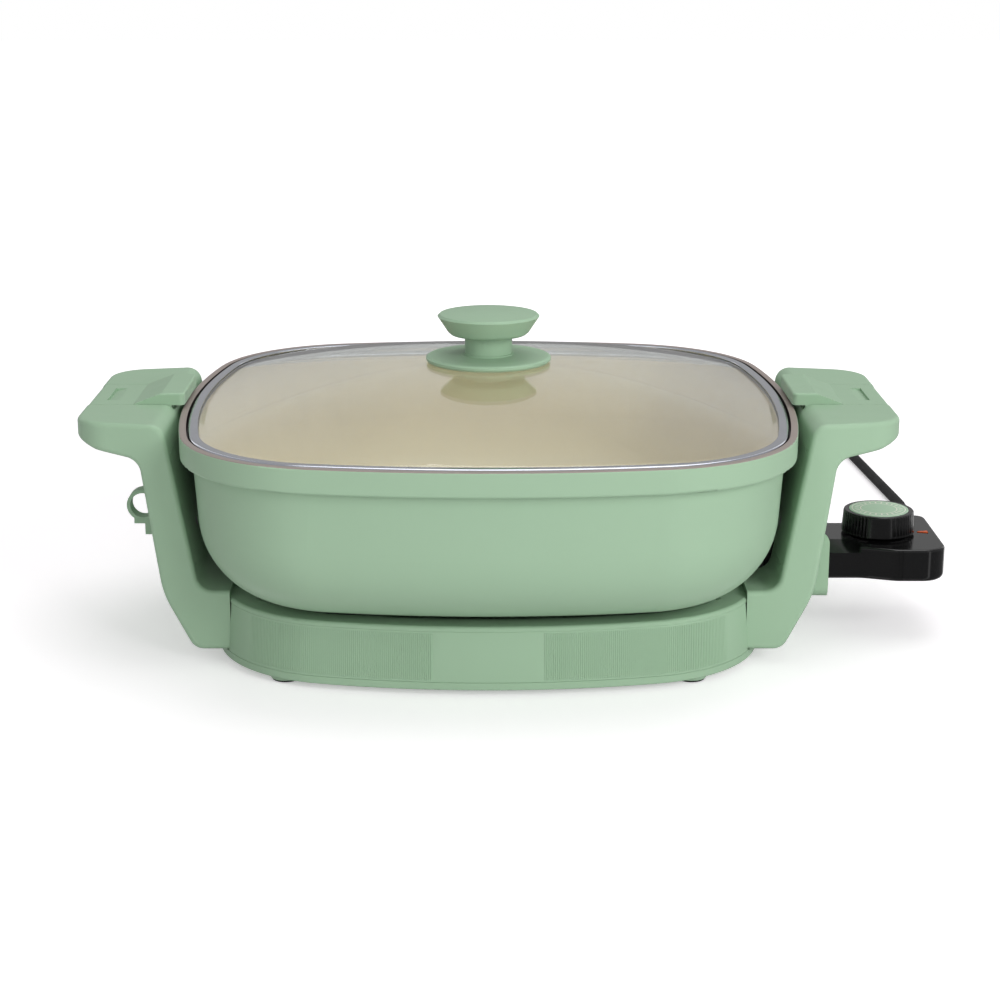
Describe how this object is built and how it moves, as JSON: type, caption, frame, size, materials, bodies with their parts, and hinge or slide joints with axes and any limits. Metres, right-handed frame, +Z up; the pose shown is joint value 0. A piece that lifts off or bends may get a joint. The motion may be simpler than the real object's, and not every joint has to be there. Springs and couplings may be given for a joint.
{
  "type": "electric skillet",
  "caption": "Electric skillet: square cast pan with rounded corners and a glass lid, in a moulded base with two handles, sliding latches and a plug-in temperature probe with a dial.",
  "frame": {"origin": "on the table, under the middle of the pan", "axes": "+Z up, +X from the middle of the pan towards the probe and its dial, +Y to the back"},
  "size_m": [0.4945, 0.6155, 0.1759],
  "materials": {
    "sage_enamel": "satin enamel, sage green outside, champagne non-stick inside",
    "rim_steel": "brushed steel band, bright grey",
    "clear_glass": "clear tempered glass, faint green edge",
    "sage_plastic": "satin moulded plastic, sage green",
    "black_plastic": "glossy moulded plastic, black",
    "dark_plastic": "matt moulded plastic, black",
    "steel": "plain steel",
    "bright_steel": "bright plated steel",
    "element_metal": "dull grey metal sheath",
    "ceramic": "unglazed ceramic, off-white",
    "rubber_black": "matt rubber, black",
    "silicone_grey": "soft silicone, dark grey",
    "brass_contacts": "bright brass",
    "dial_green": "printed disc, sage green with pale marks",
    "orange_mark": "orange plastic",
    "cord_black": "black heater cord sheath"
  },
  "bodies": {
    "base": {"pan": "sage_enamel", "heating_element": "element_metal", "terminal_pins": "bright_steel", "terminal_beads": "ceramic", "terminal_guard": "steel", "base_housing": "sage_plastic", "front_fascia": "sage_plastic", "rear_fascia": "sage_plastic", "bottom_cover": "sage_plastic", "foot_pads": "rubber_black", "base_screws": "steel", "heat_shield": "steel", "support_pads": "silicone_grey", "arm_screws": "steel", "right_arm": "sage_plastic", "left_arm": "sage_plastic", "right_arm_cover": "sage_plastic", "left_arm_cover": "sage_plastic", "cover_screws": "steel", "window_frame": "sage_plastic", "cord_clip": "sage_plastic", "clip_screw": "steel"},
    "lid": {"lid_band": "rim_steel", "lid_glass": "clear_glass", "knob_flange": "sage_plastic", "knob_head": "sage_plastic", "knob_washer": "silicone_grey", "knob_screw": "steel"},
    "left_latch_slider": {"left_latch": "sage_plastic", "left_latch_retainer": "steel", "left_latch_screw": "steel"},
    "right_latch_slider": {"right_latch": "sage_plastic", "right_latch_retainer": "steel", "right_latch_screw": "steel"},
    "probe": {"probe_lower_case": "black_plastic", "probe_upper_case": "black_plastic", "pointer_mark": "orange_mark", "probe_nose": "dark_plastic", "contact_sleeves": "brass_contacts", "sensor_tube": "bright_steel", "thermostat_frame": "steel", "thermostat_stack": "ceramic", "thermostat_blades": "brass_contacts", "probe_screws": "steel", "strain_relief": "rubber_black", "power_cord": "cord_black", "cord_coil": "cord_black", "cord_tail": "cord_black", "plug_body": "black_plastic", "plug_blades": "brass_contacts"},
    "temperature_dial": {"dial": "black_plastic", "dial_cap": "dial_green", "dial_shaft": "steel"}
  },
  "joints": [
    {"name": "lid_lift", "type": "slide", "parent": "base", "child": "lid", "axis": [0, 0, 1], "range_m": [0, 0.12]},
    {"name": "left_latch_slide", "type": "slide", "parent": "base", "child": "left_latch_slider", "axis": [-1, 0, 0], "range_m": [0, 0.008]},
    {"name": "right_latch_slide", "type": "slide", "parent": "base", "child": "right_latch_slider", "axis": [1, 0, 0], "range_m": [0, 0.008]},
    {"name": "probe_pull", "type": "slide", "parent": "base", "child": "probe", "axis": [1, 0, 0], "range_m": [0, 0.09]},
    {"name": "dial_turn", "type": "hinge", "parent": "probe", "child": "temperature_dial", "pos_m": [0.217, 0, 0.057], "axis": [0, 0, 1], "range_deg": [-290, 0]}
  ]
}
